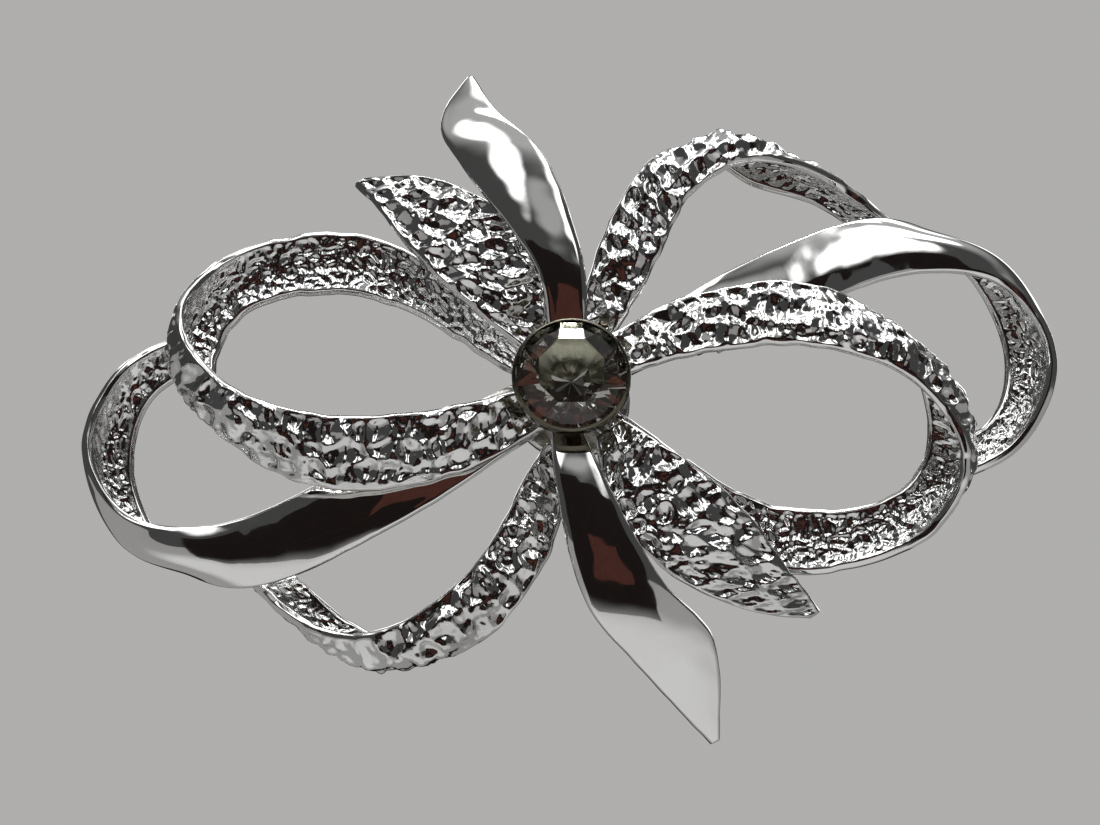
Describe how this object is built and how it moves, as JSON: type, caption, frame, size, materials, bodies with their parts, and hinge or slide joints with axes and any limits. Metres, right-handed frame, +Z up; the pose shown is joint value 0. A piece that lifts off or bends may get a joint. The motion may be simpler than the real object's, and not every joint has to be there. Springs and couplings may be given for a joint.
{
  "type": "brooch",
  "caption": "Bow brooch of curled polished and bark-textured metal ribbons round a faceted stone in a cup, with a hinged pin and a rotating safety catch behind.",
  "frame": {"origin": "middle of the pin bar's rear face, where the brooch lies against the garment", "axes": "+Z up as worn, -Y out of the show side, +Y into the garment, +X to the right seen from the front"},
  "size_m": [0.0762, 0.0147, 0.0547],
  "materials": {
    "textured_metal": "bright plated metal with a molten bark texture, darker in the hollows",
    "polished_metal": "mirror-polished plated metal with faint hand waviness",
    "plated_back": "plated metal, satin, with fine scratches",
    "cup_metal": "plated cup, slightly tarnished towards gold grey",
    "foil": "foil back of the stone",
    "stone": "clear faceted glass, grey from its foil",
    "pin_steel": "bright drawn steel wire and rivets"
  },
  "bodies": {
    "brooch": {"left_textured_loop": "textured_metal", "right_textured_loop": "textured_metal", "left_polished_loop": "polished_metal", "right_polished_loop": "polished_metal", "upper_arc": "textured_metal", "lower_arc": "textured_metal", "upper_polished_tail": "polished_metal", "lower_polished_tail": "polished_metal", "upper_textured_tail": "textured_metal", "lower_textured_tail": "textured_metal", "hub_plate": "plated_back", "centre_post": "plated_back", "stone_cup": "cup_metal", "stone_foil": "foil", "stone": "stone", "pin_bar": "plated_back", "hinge_bar_rivet": "pin_steel", "catch_bar_rivet": "pin_steel", "hinge_bracket": "plated_back", "hinge_rivet": "pin_steel", "catch": "plated_back"},
    "pin": {"pin_stem": "pin_steel"},
    "lever": {"safety_lever": "pin_steel"}
  },
  "joints": [
    {"name": "pin_hinge", "type": "hinge", "parent": "brooch", "child": "pin", "pos_m": [-0.00998, 0.003, -0.00508], "axis": [-0.454, 0, 0.891], "range_deg": [0, 95]},
    {"name": "safety_catch_turn", "type": "hinge", "parent": "brooch", "child": "lever", "pos_m": [0.00998, 0.003, 0.00508], "axis": [0.891, 0, 0.454], "range_deg": [0, 100]}
  ]
}
